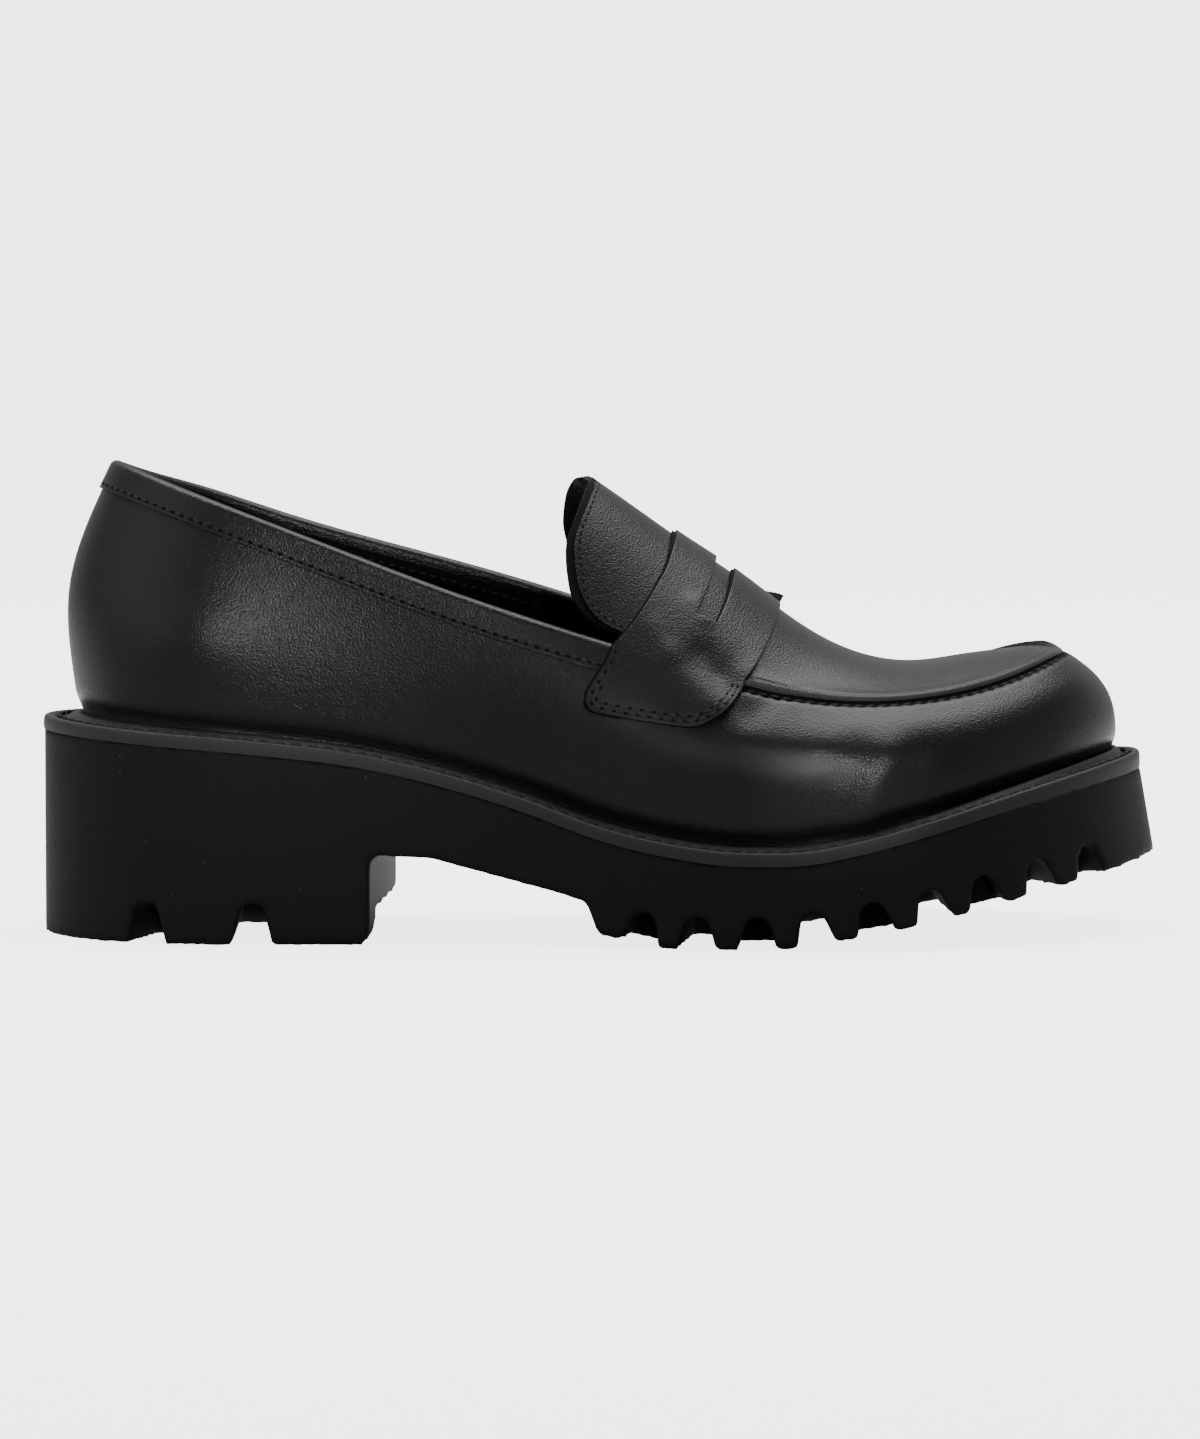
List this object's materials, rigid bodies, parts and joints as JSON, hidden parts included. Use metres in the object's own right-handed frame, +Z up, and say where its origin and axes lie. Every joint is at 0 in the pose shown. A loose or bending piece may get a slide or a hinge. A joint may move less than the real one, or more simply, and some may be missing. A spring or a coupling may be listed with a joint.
{
  "type": "loafer",
  "caption": "Right-foot black leather penny loafer: hollow upper with raised apron seam, slotted saddle strap, tongue, stitched welt and lugged block-heel rubber sole.",
  "frame": {"origin": "middle of the shoe's length and width, on the floor under the sole", "axes": "+X from heel to toe, +Y to the medial (inner) side, +Z up"},
  "size_m": [0.2777, 0.0966, 0.118],
  "materials": {
    "sole_rubber": "matt black microporous rubber",
    "welt_leather": "satin black edge-dyed leather",
    "insole_lining": "matt black lining leather",
    "upper_leather": "satin black fine-grain leather",
    "tongue_leather": "satin black fine-grain leather, rough underside",
    "strap_leather": "satin black fine-grain leather",
    "binding_leather": "satin black fine-grain leather"
  },
  "bodies": {
    "root": {"lug_sole": "sole_rubber", "welt": "welt_leather", "insole": "insole_lining", "upper": "upper_leather", "tongue": "tongue_leather", "saddle_strap": "strap_leather", "collar_binding": "binding_leather"}
  },
  "joints": []
}
